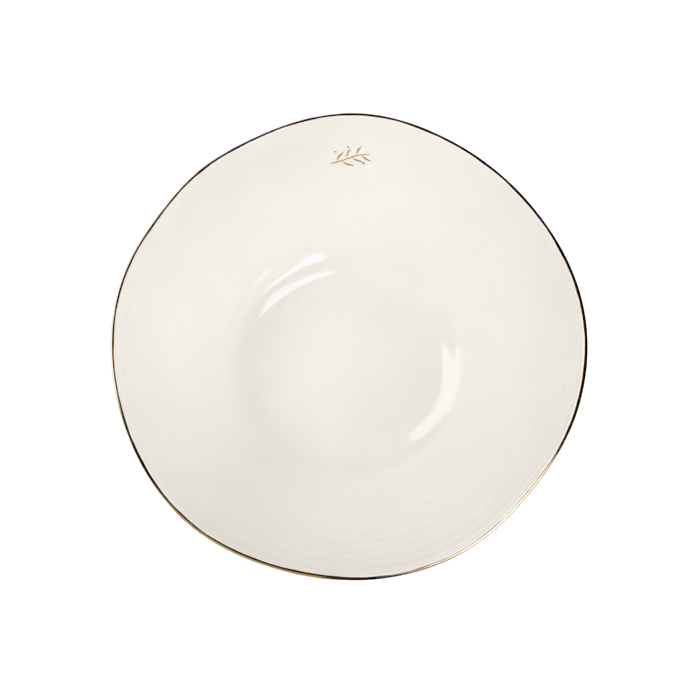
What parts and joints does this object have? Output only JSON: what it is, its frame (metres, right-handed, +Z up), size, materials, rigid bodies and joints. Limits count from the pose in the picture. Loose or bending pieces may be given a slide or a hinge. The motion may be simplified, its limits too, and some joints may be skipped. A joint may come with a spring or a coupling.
{
  "type": "serving bowl",
  "caption": "Wide porcelain serving bowl with sloping walls, a flat well and a low foot ring; the hand-pressed rim is edged in gold and the inner wall carries a small gold leaf sprig.",
  "frame": {"origin": "on the table, under the middle of the rim's outline, at the foot ring's standing face", "axes": "+Z up out of the bowl, +Y towards the wall with the painted sprig, +X to the right of someone facing that wall"},
  "size_m": [0.2817, 0.2829, 0.1004],
  "materials": {
    "fired_porcelain": "matt, bare fired clay",
    "glaze": "gloss, warm cream white",
    "gold_lustre": "polished gold lustre, brushed on"
  },
  "bodies": {
    "root": {"porcelain_body": "fired_porcelain", "foot_ring": "fired_porcelain", "inner_glaze": "glaze", "outer_glaze": "glaze", "recess_glaze": "glaze", "rim_gold_band": "gold_lustre", "sprig_stem": "gold_lustre", "sprig_leaf_upper_1": "gold_lustre", "sprig_leaf_upper_2": "gold_lustre", "sprig_leaf_upper_3": "gold_lustre", "sprig_leaf_lower_1": "gold_lustre", "sprig_leaf_lower_2": "gold_lustre", "sprig_leaf_lower_3": "gold_lustre", "sprig_berry_1": "gold_lustre", "sprig_berry_2": "gold_lustre", "sprig_berry_3": "gold_lustre"}
  },
  "joints": []
}
